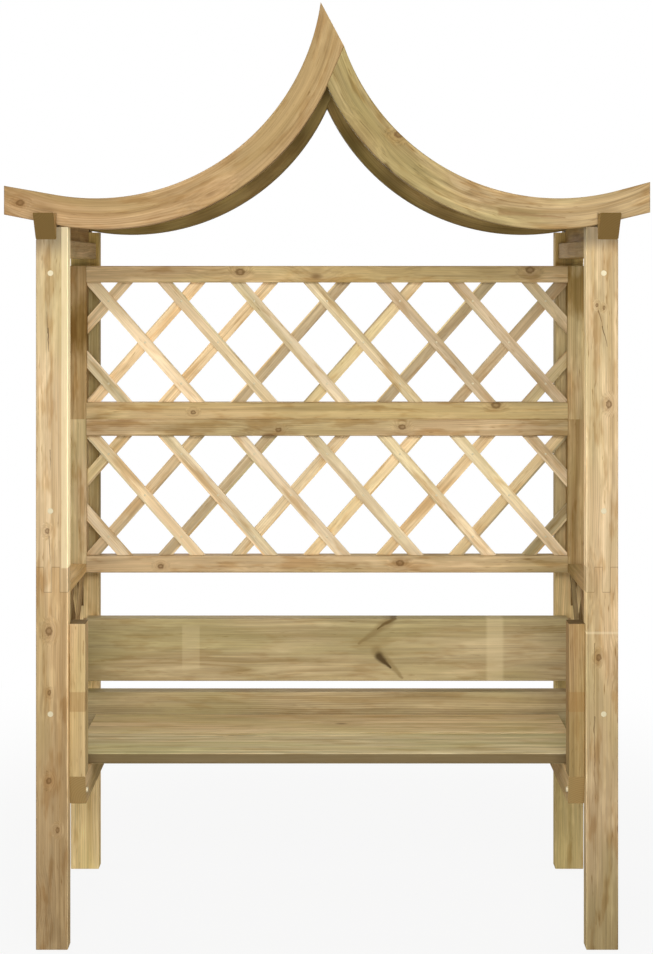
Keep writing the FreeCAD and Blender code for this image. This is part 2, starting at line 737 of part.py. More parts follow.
def build():
    """Makes every piece, and returns the objects that stand for the separate pieces."""
    pieces = []
    for side in (LEFT, RIGHT):
        for row in (FRONT, REAR):
            make_post(side, row)
            make_arch_half(side, row)
        make_purlin(side)
        make_side_rails(side)
        make_batten(side)
        make_roof_slats(side)
        pieces += make_side_laths(side)
    pieces += make_trellis_panel("lower_panel", s.panel_low)
    pieces += make_trellis_panel("upper_panel", s.panel_low + panel_tall)
    make_back_boards()
    make_bench()
    pieces += make_fasteners()
    doc.recompute()
    bodies = doc.findObjects("PartDesign::Body")
    return pieces + [body for body in bodies if not body.Label.endswith("_row")]


def check(pieces):
    """Stops the build if an object failed, a cut removed nothing or a shape isn't sound."""
    for thing in doc.Objects:
        if "Invalid" in thing.State or "Error" in thing.State:
            raise RuntimeError("%s failed: %s" % (thing.Label, thing.State))
        if thing.TypeId == "PartDesign::Pocket":
            removed = thing.BaseFeature.Shape.Volume - thing.Shape.Volume
            if removed < LEAST_CUT:
                raise RuntimeError("%s cuts nothing" % thing.Label)
    for piece in pieces:
        if piece.Shape.isNull() or not piece.Shape.isValid():
            raise RuntimeError("%s has no sound shape" % piece.Label)


def export(pieces):
    os.makedirs("parts", exist_ok=True)
    for piece in pieces:
        piece.Shape.exportStep("parts/%s.step" % piece.Label)
        print(piece.Label, len(piece.Shape.Solids), "solids", round(piece.Shape.Volume / 1e6, 3), "litres")


pieces = build()
check(pieces)
export(pieces)
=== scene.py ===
import math

import bpy
import numpy as np
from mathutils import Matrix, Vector


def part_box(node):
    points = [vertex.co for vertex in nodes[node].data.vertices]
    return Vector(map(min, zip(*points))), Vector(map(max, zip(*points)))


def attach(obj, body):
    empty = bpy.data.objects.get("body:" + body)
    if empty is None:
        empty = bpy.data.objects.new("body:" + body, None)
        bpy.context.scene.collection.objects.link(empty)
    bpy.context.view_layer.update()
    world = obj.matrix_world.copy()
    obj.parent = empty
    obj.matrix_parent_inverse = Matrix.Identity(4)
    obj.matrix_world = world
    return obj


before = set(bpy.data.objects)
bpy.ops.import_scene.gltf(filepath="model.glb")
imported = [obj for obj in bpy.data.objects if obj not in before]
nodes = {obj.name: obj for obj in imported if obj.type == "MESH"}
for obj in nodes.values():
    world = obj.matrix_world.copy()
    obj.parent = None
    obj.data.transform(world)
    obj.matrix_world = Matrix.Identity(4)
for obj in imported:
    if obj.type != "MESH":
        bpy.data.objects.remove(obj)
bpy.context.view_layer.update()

# Arbour seat of pressure-treated softwood, in metres. +Z is up and +Y points to the back.


# Colours, and the one function that makes shader nodes

def linear(hex_colour):
    """An sRGB hex colour as linear RGBA."""
    values = [int(hex_colour[i:i + 2], 16) / 255 for i in (1, 3, 5)]
    return tuple(v / 12.92 if v <= 0.04045 else ((v + 0.055) / 1.055) ** 2.4 for v in values) + (1.0,)


def scaled_tone(tone, tint, by=1.0):
    """A linear colour with its channels multiplied, kept below 1."""
    return tuple(min(0.98, c * (k * by)) for c, k in zip(tone, tint)) + (1.0,)


def add(tree, kind, settings=None, **inputs):
    """Adds a node, sets its attributes, and fills or links its inputs.
    An input is given as in_NAME or in_NUMBER."""
    made = tree.nodes.new("ShaderNode" + kind)
    for key, value in (settings or {}).items():
        setattr(made, key, value)
    for key, value in inputs.items():
        key = key[3:].replace("_", " ")
        socket = made.inputs[int(key)] if key.isdigit() else made.inputs[key]
        if isinstance(value, bpy.types.NodeSocket):
            tree.links.new(value, socket)
        else:
            socket.default_value = value
    return made


def maths(tree, operation, *values):
    inputs = {"in_%d" % i: value for i, value in enumerate(values)}
    return add(tree, "Math", {"operation": operation}, **inputs).outputs[0]


def vector_maths(tree, operation, first, second):
    return add(tree, "VectorMath", {"operation": operation}, in_0=first, in_1=second).outputs[0]


def blend(tree, factor, first, second, way="MIX"):
    """The first colour where the factor is 0, and the second where it is 1."""
    mixed = add(tree, "Mix", {"data_type": "RGBA", "blend_type": way}, in_0=factor, in_6=first, in_7=second)
    return mixed.outputs[2]


def blend_tint(tree, factor, colour, tint):
    """The colour itself where the factor is 0, and times the tint where it is 1."""
    return blend(tree, factor, colour, blend(tree, 1.0, colour, tint + (1,), "MULTIPLY"))


def smooth_step(tree, value, low, high):
    """0 at low, 1 at high, and smooth between them. Low may be the larger number."""
    backwards = low > high
    if backwards:
        low, high = high, low
    ranged = add(tree, "MapRange", {"interpolation_type": "SMOOTHSTEP"}, in_0=value, in_1=low, in_2=high)
    return maths(tree, "SUBTRACT", 1.0, ranged.outputs[0]) if backwards else ranged.outputs[0]


def both(tree, first, second):
    """The product, which is 1 only where both values are 1."""
    return maths(tree, "MULTIPLY", first, second)


def inside(tree, value, low, high, soft=0.0008):
    """1 where the value lies between low and high."""
    return both(tree, smooth_step(tree, value, low - soft, low + soft),
                smooth_step(tree, value, high + soft, high - soft))


def noise(tree, vector, long, wide, detail=2.0, roughness=0.55, colour=False):
    """Noise in cells as long along the grain and as wide across it as given, in millimetres."""
    per_metre = (1000 / long, 1000 / wide, 1000 / wide)
    made = add(tree, "TexNoise", None, in_Vector=vector_maths(tree, "MULTIPLY", vector, per_metre),
               in_Scale=1.0, in_Detail=detail, in_Roughness=roughness)
    return made.outputs["Color" if colour else "Fac"]


def chance(tree, value, seed):
    """A chance colour for a whole number."""
    return add(tree, "TexWhiteNoise", {"noise_dimensions": "2D"},
               in_Vector=add(tree, "CombineXYZ", None, in_0=value, in_1=seed).outputs[0]).outputs["Color"]


# The log that each timber was sawn from

TURN_TO_GRAIN = {"X": (0, 0, 0), "Y": (0, 0, -math.pi / 2), "Z": (0, math.pi / 2, 0)}
AXES = {"X": (1, 0, 0), "Y": (0, 1, 0), "Z": (0, 0, 1)}
LOG_STEP = 1.37          # along the log, from one piece's place to the next one's


def chance_shift(tree, number, seed):
    """Takes each of several timbers from its own place in the log, up to 3 m further along
    and 50 mm further out."""
    return vector_maths(tree, "MULTIPLY", chance(tree, number, seed), (3.0, 0.05, 0.05))


def straight_log(turn, centre, seed, number=None):
    """For a straight timber: X along the grain, and the pith 35 to 85 mm off its middle.
    The turn brings the grain to X. The number tells several timbers of one node apart."""
    def place(tree, axes, here):
        middle = vector_maths(tree, "SUBTRACT", here, tuple(centre))
        turned = add(tree, "Mapping", {"vector_type": "POINT"}, in_Vector=middle,
                     in_Rotation=turn).outputs[0]
        pith = (seed * LOG_STEP, 0.038 + 0.016 * math.sin(seed * 2.1),
                0.047 + 0.019 * math.cos(seed * 1.7))
        log = vector_maths(tree, "ADD", turned, pith)
        if number is None:
            return log, None
        count = number(tree, axes)
        return vector_maths(tree, "ADD", log, chance_shift(tree, count, seed)), count
    return place


LOWER_CENTRE = (0.490, 2.1166)      # centre of the right half's lower curve, X and Z
LOWER_RADIUS = 0.5386
UPPER_CENTRE = (0.508, 2.1448)      # centre of its upper curve


def arch_log(side, seed):
    """For an arch half: the grain follows the curve. The pith passes just before the front
    arch for the left halves, and just before the rear arch for the right ones."""
    pith_depth = -0.33 if side < 0 else 0.24

    def place(tree, axes, here):
        x = maths(tree, "MULTIPLY_ADD", axes[0], -side, LOWER_CENTRE[0])
        z = maths(tree, "SUBTRACT", axes[2], LOWER_CENTRE[1])
        angle = maths(tree, "ARCTAN2", x, maths(tree, "MULTIPLY", z, -1.0))
        away = maths(tree, "SQRT", maths(tree, "ADD", both(tree, x, x), both(tree, z, z)))
        along = maths(tree, "MULTIPLY_ADD", angle, LOWER_RADIUS, seed * LOG_STEP)
        deep = maths(tree, "SUBTRACT", axes[1], pith_depth)
        out = maths(tree, "SUBTRACT", away, LOWER_RADIUS + 0.02)
        return add(tree, "CombineXYZ", None, in_0=along, in_1=deep, in_2=out).outputs[0], None
    return place


# Softwood

RING = 0.0046                       # one year's growth, early and late wood together
WAVE_PERIOD = 2 * math.pi / 20      # of Blender's wave texture at scale 1

# How the parts of the grain differ from the timber's middle tone
EARLY_WOOD = (1.16, 1.17, 1.20)
LATE_WOOD = (0.74, 0.66, 0.52)
GREEN_CAST = (0.80, 0.88, 0.70)
BROWN_CLOUD = (0.77, 0.66, 0.52)
PALE_CLOUD = (1.22, 1.26, 1.30)
FLECK = (0.50, 0.40, 0.26)
BROWN_TIMBER = (1.05, 0.90, 0.78)
PALE_END = (0.39, 0.37, 0.29)
DARK_END = (0.33, 0.31, 0.23)

KNOT_SQUEEZE = 0.72                 # makes a knot longer along the grain than across it
KNOT_DEPTH = 0.2                    # and five times as deep, through the timber
KNOT_RIM = "#8F693C"
KNOT_HEART = "#664728"


def softwood(name, tone, place, end_axis=None, end_limit=0.7, seed=1, ring=RING, contrast=0.55,
             band=0.6, streaky=0.46, spread=0.12, chance_knots=0.70, waver=0.026, cast=0.55,
             mottle=0.5, end_tone=1.0, knots=(), marks=None):
    """Planed pine, pressure treated. The eye sees long pale and darker lines where the
    growth rings meet the face, broad bands, a slow drift between honey and the green cast of
    the treatment, cloudy patches and short dark flecks, fine fibres, brown knots that the
    lines go round, and dark end grain."""
    material = bpy.data.materials.new(name)
    material.use_nodes = True
    tree = material.node_tree
    tree.nodes.clear()
    here = add(tree, "TexCoord").outputs["Object"]
    axes = add(tree, "SeparateXYZ", None, in_0=here).outputs
    log, count = place(tree, axes, here)
    knot_shape = (KNOT_SQUEEZE if end_axis == AXES["X"] else 1, KNOT_DEPTH,
                  KNOT_SQUEEZE if end_axis == AXES["Z"] else 1)
    middle_tone = linear(tone)
    early = scaled_tone(middle_tone, EARLY_WOOD)
    late = scaled_tone(middle_tone, LATE_WOOD)

    # Knots by chance, in some of the cells of 230 by 118 mm, and the knots of the photo
    cells = add(tree, "TexVoronoi", {"feature": "F1"}, in_Scale=1.0,
                in_Vector=vector_maths(tree, "MULTIPLY", log, (1000 / 230, 1000 / 118, 1000 / 118)))
    picked = smooth_step(tree, add(tree, "SeparateColor", None, in_0=cells.outputs["Color"]).outputs[0],
                         chance_knots, chance_knots + 0.01)
    bend = both(tree, smooth_step(tree, cells.outputs["Distance"], 0.42, 0.02), picked)
    heart = both(tree, picked, smooth_step(tree, cells.outputs["Distance"], 0.11, 0.05))
    shaped = vector_maths(tree, "MULTIPLY", here, knot_shape)
    uneven = maths(tree, "MULTIPLY_ADD", noise(tree, here, 6, 6), 0.006, -0.003)
    for x, y, z, radius in knots:
        away = add(tree, "VectorMath", {"operation": "DISTANCE"}, in_0=shaped,
                   in_1=(x * knot_shape[0], y * knot_shape[1], z * knot_shape[2])).outputs["Value"]
        bend = maths(tree, "MAXIMUM", bend, smooth_step(tree, away, radius * 3.4, radius * 0.6))
        edge = maths(tree, "ADD", away, uneven)
        heart = maths(tree, "MAXIMUM", heart, maths(
            tree, "SUBTRACT", smooth_step(tree, edge, radius * 1.15, radius * 0.75),
            maths(tree, "MULTIPLY", smooth_step(tree, edge, radius * 0.65, radius * 0.25), 0.45)))

    # Rings round the pith, wavering along the log and bent round the knots
    push = add(tree, "VectorMath", {"operation": "SCALE"}, in_Scale=waver, in_0=vector_maths(
        tree, "SUBTRACT", noise(tree, log, 530, 125, colour=True), (0.5, 0.5, 0.5))).outputs[0]
    aside = add(tree, "CombineXYZ", None, in_1=maths(tree, "MULTIPLY", bend, 0.016),
                in_2=maths(tree, "MULTIPLY", bend, 0.012)).outputs[0]
    bent = vector_maths(tree, "ADD", vector_maths(tree, "ADD", log, push), aside)
    rings = add(tree, "TexWave", {"wave_type": "RINGS", "rings_direction": "X", "wave_profile": "SAW"},
                in_Vector=bent, in_Scale=WAVE_PERIOD / ring).outputs["Fac"]
    late_wood = both(tree, smooth_step(tree, rings, 0.30, 0.86), smooth_step(tree, rings, 1.0, 0.93))
    strength = smooth_step(tree, noise(tree, log, 1100, 45, roughness=0.6), 0.28, 0.74)
    late_amount = maths(tree, "MULTIPLY", both(tree, late_wood, strength), contrast)

    # Broad bands, the drift of the treatment's cast, and fibres about 2 mm wide: the real
    # ones are too fine to show
    bands = smooth_step(tree, noise(tree, bent, 1400, 21, 3.0, 0.66), 0.42, 0.68)
    drift = smooth_step(tree, noise(tree, log, 450, 110), 0.40, 0.66)
    fibre = noise(tree, log, 125, 2, 3.0, 0.62)
    patchy = noise(tree, log, 250, 33, 3.0, 0.6)
    streaks = noise(tree, bent, 620, 6, 4.0, 0.7)
    colour = blend(tree, late_amount, early, late)
    colour = blend(tree, maths(tree, "MULTIPLY", bands, band), colour, late)
    colour = blend(tree, maths(tree, "MULTIPLY", drift, cast), colour, scaled_tone(middle_tone, GREEN_CAST))

    # Cloudy patches, brown or pale, and short dark flecks along the grain
    clouds = add(tree, "SeparateColor", None, in_0=noise(tree, log, 140, 28, 3.0, 0.62, True)).outputs
    brown = maths(tree, "MULTIPLY", smooth_step(tree, clouds[0], 0.50, 0.66), mottle)
    colour = blend_tint(tree, brown, colour, BROWN_CLOUD)
    pale = maths(tree, "MULTIPLY", smooth_step(tree, clouds[1], 0.52, 0.68), mottle)
    colour = blend_tint(tree, pale, colour, PALE_CLOUD)
    fleck = smooth_step(tree, noise(tree, log, 38, 3.3, 2.0, 0.5), 0.62, 0.74)
    fleck = both(tree, fleck, smooth_step(tree, clouds[2], 0.44, 0.60))
    colour = blend_tint(tree, maths(tree, "MULTIPLY", fleck, mottle), colour, FLECK)

    # Fine light and dark. Timbers of one node differ a little, some paler and some browner
    shade = maths(tree, "ADD", maths(tree, "MULTIPLY_ADD", fibre, 0.30, 0.85),
                  maths(tree, "MULTIPLY_ADD", patchy, 0.44, -0.22))
    shade = maths(tree, "ADD", shade, maths(tree, "MULTIPLY_ADD", streaks, streaky * 2, -streaky))
    if count is not None:
        own = add(tree, "SeparateColor", None, in_0=chance(tree, count, seed + 0.5)).outputs
        shade = both(tree, shade, maths(tree, "MULTIPLY_ADD", own[0], spread * 2, 1 - spread))
        colour = blend(tree, maths(tree, "MULTIPLY", own[1], 0.35), colour,
                       scaled_tone(middle_tone, BROWN_TIMBER))
    grey = add(tree, "CombineColor", None, in_0=shade, in_1=shade, in_2=shade).outputs[0]
    colour = blend(tree, 1.0, colour, grey, "MULTIPLY")
    if marks is not None:
        colour = marks(tree, axes, colour, log)
    colour = blend(tree, maths(tree, "MULTIPLY", bend, 0.24), colour, linear(KNOT_RIM))
    colour = blend(tree, maths(tree, "MULTIPLY", heart, 0.7), colour, linear(KNOT_HEART))

    # End grain soaks up the treatment and is darker
    if end_axis is not None:
        facing = add(tree, "VectorMath", {"operation": "DOT_PRODUCT"},
                     in_0=add(tree, "NewGeometry").outputs["Normal"], in_1=end_axis).outputs["Value"]
        end = smooth_step(tree, maths(tree, "ABSOLUTE", facing), end_limit, end_limit + 0.08)
        end_grain = blend(tree, late_wood, scaled_tone(middle_tone, PALE_END, end_tone),
                          scaled_tone(middle_tone, DARK_END, end_tone))
        colour = blend(tree, end, colour, end_grain)

    rough = maths(tree, "MULTIPLY_ADD", fibre, 0.18, 0.62)
    relief = maths(tree, "MULTIPLY_ADD", late_amount, 0.5, fibre)
    bump = add(tree, "Bump", None, in_Strength=0.4, in_Distance=0.0006, in_Height=relief)
    shader = add(tree, "BsdfPrincipled", None, in_Base_Color=colour, in_Roughness=rough,
                 in_Normal=bump.outputs[0], in_Specular_IOR_Level=0.05)
    add(tree, "OutputMaterial", None, in_0=shader.outputs[0])
    return material


def plated_steel():
    """Zinc-plated screw, bolt and nail heads: pale, slightly warm, dulled by handling."""
    material = bpy.data.materials.new("zinc_plated_steel")
    material.use_nodes = True
    tree = material.node_tree
    tree.nodes.clear()
    here = add(tree, "TexCoord").outputs["Object"]
    grains = add(tree, "TexNoise", None, in_Vector=here, in_Scale=1000 / 1.1, in_Detail=2.0).outputs["Fac"]
    colour = blend(tree, grains, linear("#C9BC98"), linear("#DACFAE"))
    rough = maths(tree, "MULTIPLY_ADD", grains, 0.2, 0.42)
    shader = add(tree, "BsdfPrincipled", None, in_Base_Color=colour, in_Roughness=rough, in_Metallic=0.2)
    add(tree, "OutputMaterial", None, in_0=shader.outputs[0])
    return material


# Marks on single pieces

COMB_LOW, COMB_HIGH = 0.783, 0.838      # the glued finger joint across each front post
FINGER = 0.0175
POST_INNER = 0.568                      # X of the posts' inner faces
# Foot: darker towards the ground. Top: painted shade under the arch. Inner: a painted highlight on the
# inner side
POST_FOOT_TINT = (0.62, 0.62, 0.60)
POST_TOP_SHADE_TINT = (0.50, 0.52, 0.56)
POST_INNER_HIGHLIGHT_TINT = (1.82, 1.92, 2.0)
SEAT_FRONT = -0.175
BENCH_UPRIGHT_FRONT = -0.28


def draw_strokes(tree, axes, log, colour, strokes):
    """Drying checks, spike knots and brown streaks. Each runs from one X and Z to another,
    is as wide as given where it begins, narrows along its way and winds a little."""
    winding = vector_maths(tree, "MULTIPLY", vector_maths(
        tree, "SUBTRACT", noise(tree, log, 33, 17, colour=True), (0.5, 0.5, 0.5)), (0.007, 0, 0.007))
    flat = add(tree, "CombineXYZ", None, in_0=axes[0], in_2=axes[2]).outputs[0]
    at = vector_maths(tree, "ADD", flat, winding)
    for x_from, z_from, x_to, z_to, half_wide, tint, amount in strokes:
        run = (x_to - x_from, 0, z_to - z_from)
        length = math.hypot(run[0], run[2])
        begun = vector_maths(tree, "SUBTRACT", at, (x_from, 0, z_from))
        way = tuple(c / length ** 2 for c in run)
        share = add(tree, "VectorMath", {"operation": "DOT_PRODUCT"}, in_0=begun, in_1=way)
        along = maths(tree, "MINIMUM", maths(tree, "MAXIMUM", share.outputs["Value"], 0.0), 1.0)
        nearest = add(tree, "VectorMath", {"operation": "SCALE"}, in_0=run, in_Scale=along).outputs[0]
        distance = add(tree, "VectorMath", {"operation": "DISTANCE"}, in_0=begun, in_1=nearest)
        limit = maths(tree, "MULTIPLY_ADD", along, -0.75 * half_wide, half_wide)
        there = smooth_step(tree, maths(tree, "DIVIDE", distance.outputs["Value"], limit), 1.0, 0.2)
        colour = blend(tree, maths(tree, "MULTIPLY", there, amount), colour, linear(tint))
    return colour


def stroke_marks(*strokes):
    """Strokes as the only marks of a piece."""
    def marks(tree, axes, colour, log):
        return draw_strokes(tree, axes, log, colour, strokes)
    return marks


def stain_and_shade_marks(*stains):
    """Darker or paler stretches of an upright timber, from one height to another, with
    uneven borders: stains on the stiles, and painted shade and painted light on the rear posts. The tone
    multiplies the wood's own colour."""
    def marks(tree, axes, colour, log):
        uneven = maths(tree, "MULTIPLY_ADD", noise(tree, log, 83, 22, 3.0, 0.6), 0.12, -0.06)
        height = maths(tree, "ADD", axes[2], uneven)
        for low, high, soft, tone in stains:
            colour = blend_tint(tree, inside(tree, height, low, high, soft), colour, tone)
        return colour
    return marks


# X and Z where it begins, X and Z where it ends, half width, tint, amount
LEFT_CHECKS = [(-0.6115, 1.360, -0.6090, 1.310, 0.0022, "#4E3A22", 0.8),
               (-0.6120, 1.350, -0.6125, 1.398, 0.0015, "#5C462A", 0.6),
               (-0.6060, 1.095, -0.6055, 1.050, 0.0016, "#5C462A", 0.7),
               (-0.6085, 0.906, -0.6060, 0.845, 0.0018, "#5C462A", 0.6)]
RIGHT_CHECKS = [(0.5945, 1.400, 0.6040, 1.362, 0.0022, "#6A4A2A", 0.7),
                (0.6030, 1.365, 0.6135, 1.322, 0.0022, "#5C462A", 0.75),
                (0.5855, 0.672, 0.5850, 0.500, 0.0018, "#6A5433", 0.65),
                (0.5850, 0.510, 0.5880, 0.330, 0.0020, "#5C462A", 0.65)]
SPIKE_KNOT = [(0.150, 0.622, 0.078, 0.570, 0.0200, "#857048", 0.60),
              (0.166, 0.632, 0.124, 0.606, 0.0090, "#5F4826", 0.75),
              (0.122, 0.552, 0.186, 0.486, 0.0200, "#857048", 0.60),
              (0.128, 0.538, 0.156, 0.510, 0.0150, "#42301A", 0.85)]

# Tone below the finger joint, height above which painted shade under the arch darkens the post, and its
# drying checks
POST_MARKS = {-1: ((0.95, 0.89, 0.80), 1.503, LEFT_CHECKS),
              1: ((0.99, 0.96, 0.93), 1.523, RIGHT_CHECKS)}


def front_post_marks(side):
    """The finger joint, whose two timbers differ in tone, a foot that darkens towards the ground,
    painted shade on the top end under the arch, drying checks, a painted highlight that makes
    the inner side paler, on the left a strip of pale sapwood, and on the right a pale scuff across the
    face."""
    lower_tone, shade_above, checks = POST_MARKS[side]

    def marks(tree, axes, colour, log):
        # The lower timber's tone, darker towards the foot, and painted shade on the top end under the arch
        across = maths(tree, "DIVIDE", maths(tree, "MULTIPLY_ADD", axes[0], side, -POST_INNER), FINGER)
        step = maths(tree, "FLOOR", across)
        odd = maths(tree, "MODULO", maths(tree, "ABSOLUTE", step), 2.0)
        edge = maths(tree, "MULTIPLY_ADD", odd, COMB_HIGH - COMB_LOW, COMB_LOW)
        drop = maths(tree, "SUBTRACT", axes[2], edge)
        below = smooth_step(tree, drop, 0.0004, -0.0004)
        colour = blend_tint(tree, below, colour, lower_tone)
        foot = smooth_step(tree, axes[2], 1.0, -0.1)
        colour = blend_tint(tree, foot, colour, POST_FOOT_TINT)
        top = smooth_step(tree, axes[2], shade_above, 1.562)
        colour = blend_tint(tree, top, colour, POST_TOP_SHADE_TINT)

        # The outline of the joint
        beside = maths(tree, "ABSOLUTE", maths(tree, "SUBTRACT", maths(tree, "FRACT", across), 0.5))
        upright_line = both(tree, smooth_step(tree, beside, 0.455, 0.475),
                            inside(tree, axes[2], COMB_LOW, COMB_HIGH))
        level_line = smooth_step(tree, maths(tree, "ABSOLUTE", drop), 0.0013, 0.0006)
        line = maths(tree, "MAXIMUM", upright_line, level_line)
        colour = blend(tree, maths(tree, "MULTIPLY", line, 0.42), colour, linear("#6A5433"))

        # Sapwood or a scuff, drying checks, and a painted highlight on the inner side
        if side < 0:
            strip = both(tree, smooth_step(tree, axes[0], -0.5835, -0.5805),
                         smooth_step(tree, axes[2], COMB_HIGH - 0.004, COMB_HIGH))
            colour = blend(tree, maths(tree, "MULTIPLY", strip, 0.6), colour, linear("#EBD9AE"))
        else:
            scuff = inside(tree, axes[2], 0.6915, 0.6965, 0.0015)
            colour = blend(tree, maths(tree, "MULTIPLY", scuff, 0.35), colour, linear("#E6D6B0"))
        colour = draw_strokes(tree, axes, log, colour, checks)
        inner = smooth_step(tree, maths(tree, "MULTIPLY", axes[0], side), POST_INNER + 0.002,
                            POST_INNER + 0.0008)
        return blend_tint(tree, inner, colour, POST_INNER_HIGHLIGHT_TINT)
    return marks


def back_board_marks(tree, axes, colour, log):
    """Two paler patches where a piece was let in, and a spike knot with two dark wings."""
    left = both(tree, inside(tree, axes[0], -0.357, -0.314, 0.002),
                inside(tree, axes[2], 0.508, 0.612, 0.006))
    right = inside(tree, axes[0], 0.393, 0.434, 0.005)
    patch = maths(tree, "ADD", maths(tree, "MULTIPLY", left, 0.22), maths(tree, "MULTIPLY", right, 0.34))
    colour = blend(tree, patch, colour, linear("#DDCBA0"))
    return draw_strokes(tree, axes, log, colour, SPIKE_KNOT)


def seat_edge_shade_marks(tree, axes, colour, log):
    """The front edge of the seat is darker than its top: painted shade."""
    edge = smooth_step(tree, axes[1], SEAT_FRONT + 0.0025, SEAT_FRONT + 0.0005)
    return blend(tree, maths(tree, "MULTIPLY", edge, 0.92), colour, linear("#6F5D3E"))


def upright_marks(tree, axes, colour, log):
    """A darker patch let into the front of the bench's upright."""
    front = smooth_step(tree, axes[1], BENCH_UPRIGHT_FRONT + 0.03, BENCH_UPRIGHT_FRONT + 0.018)
    patch = both(tree, inside(tree, axes[2], 0.5165, 0.560), front)
    return blend(tree, maths(tree, "MULTIPLY", patch, 0.42), colour, linear("#96703F"))


# Each CAD piece and its timber: the tone is the wood's middle colour

LEAN = math.radians(48.6)           # of the laths, from level
PITCH = 0.18                        # from one lath to the next, measured level
SLAT_STEP = math.radians(15.4)      # from one roof slat to the next, round the upper curve


def lath_number(axis, lean):
    """Counts the laths of a row by where their middle line would meet the ground."""
    def number(tree, axes):
        foot = maths(tree, "MULTIPLY_ADD", axes[2], -lean / math.tan(LEAN), axes[axis])
        return maths(tree, "FLOOR", maths(tree, "DIVIDE", foot, PITCH))
    return number


def slat_number(side):
    """Counts the roof slats by their angle round the centre of the arch's upper curve."""
    def number(tree, axes):
        x = maths(tree, "SUBTRACT", axes[0], UPPER_CENTRE[0] * side)
        z = maths(tree, "SUBTRACT", UPPER_CENTRE[1], axes[2])
        return maths(tree, "FLOOR", maths(tree, "DIVIDE", maths(tree, "ARCTAN2", x, z), SLAT_STEP))
    return number


def dress(name, material):
    """Leaves a CAD piece with this one material."""
    mesh = nodes[name].data
    mesh.materials.clear()
    mesh.materials.append(material)


def box_of(name):
    """The middle of a piece's box, and the letter of its longest side."""
    low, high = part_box(name)
    spans = [high[i] - low[i] for i in range(3)]
    centre = [(high[i] + low[i]) / 2 for i in range(3)]
    return centre, "XYZ"[spans.index(max(spans))]


STILE = {"band": 0.9, "chance_knots": 0.5, "mottle": 0.9}
RAIL = {"chance_knots": 0.6, "mottle": 0.8}
BOARD = {"ring": 0.0052, "contrast": 0.75}

# Part of the name, tone, and other choices. The first row that fits a name counts
TONES = [
    ("front_post", "#C2A983", {"mottle": 0.8}),
    ("rear_post", "#D0B684", {"band": 0.8, "mottle": 0.7}),
    ("front_arch_right", "#A89069", {"end_limit": 0.97, "waver": 0.05, "band": 0.8, "contrast": 0.55,
                                     "streaky": 0.8, "cast": 0.9, "mottle": 0.8}),
    ("front_arch_left", "#AB8D66", {"end_limit": 0.97, "waver": 0.04, "mottle": 0.6}),
    # The rear arch's darker tone is painted shade under the roof
    ("rear_arch", "#877145", {"end_limit": 0.97}),
    ("roof_slats", "#97794D", {"spread": 0.14}),
    ("purlin", "#B29363", {"end_tone": 1.15}),
    ("side_top_rail_left", "#BDA274", {}),
    # The right side top rail's darker tone is painted shade under the purlin
    ("side_top_rail_right", "#9F8350", {"cast": 0.3}),
    ("side_batten", "#AE9164", {"band": 0.9, "chance_knots": 0.5}),
    ("upper_panel_stile_left", "#AE9164", STILE),
    ("lower_panel_stile_left", "#CDB38A", STILE),
    ("upper_panel_stile_right", "#C0A67C", STILE),
    ("stile", "#A88D61", STILE),
    ("side_laths_inner", "#A58C66", {"spread": 0.2}),
    # The outer side laths' dark tone is painted shade
    ("side_laths_outer", "#7A6240", {"spread": 0.2}),
    ("side_arm_rail_left", "#CDAD78", {}),
    ("side", "#A88B5E", {}),
    ("laths_front", "#DCC8A5", {"spread": 0.26, "cast": 0.45, "mottle": 0.9}),
    ("laths_back", "#D2BC95", {"spread": 0.40, "cast": 0.6, "mottle": 0.9}),
    ("upper_panel_bottom_rail", "#C6AA7D", RAIL),
    ("upper_panel_top_rail", "#C6AB80", RAIL),
    ("rail", "#BAA079", RAIL),
    ("seat_board_front", "#CABB92", dict(BOARD, streaky=0.8)),
    ("seat_board_rear", "#D2BC92", BOARD),
    ("board", "#AF9C76", BOARD),
    ("seat_bearer", "#CFB183", {"end_tone": 1.45}),
    ("bench_upright_left", "#C2A67C", {"mottle": 0.9}),
    ("bench_upright_right", "#A1865E", {}),
]

# X, Y, Z and radius of the knots that the photo shows
KNOTS = {
    "front_post_left": [(-0.609, -0.30, 0.698, 0.008), (-0.608, -0.30, 0.563, 0.004),
                        (-0.613, -0.30, 0.917, 0.005), (-0.609, -0.30, 0.370, 0.006),
                        (-0.590, -0.30, 0.262, 0.005)],
    "front_post_right": [(0.591, -0.30, 1.412, 0.0035), (0.606, -0.30, 1.406, 0.0035),
                         (0.6175, -0.30, 1.195, 0.007), (0.595, -0.30, 0.640, 0.006)],
    "front_arch_left": [(-0.672, -0.30, 1.636, 0.007)],
    "front_arch_right": [(0.158, -0.30, 1.786, 0.008)],
    "upper_panel_top_rail": [(-0.214, 0.21, 1.485, 0.009), (0.500, 0.21, 1.490, 0.009)],
    "upper_panel_bottom_rail": [(0.416, 0.21, 1.157, 0.009), (-0.33, 0.21, 1.139, 0.005)],
    "lower_panel_top_rail": [(0.185, 0.21, 1.103, 0.007), (-0.12, 0.21, 1.096, 0.006)],
    "lower_panel_bottom_rail": [(0.180, 0.21, 0.768, 0.008), (-0.41, 0.21, 0.760, 0.006)],
}

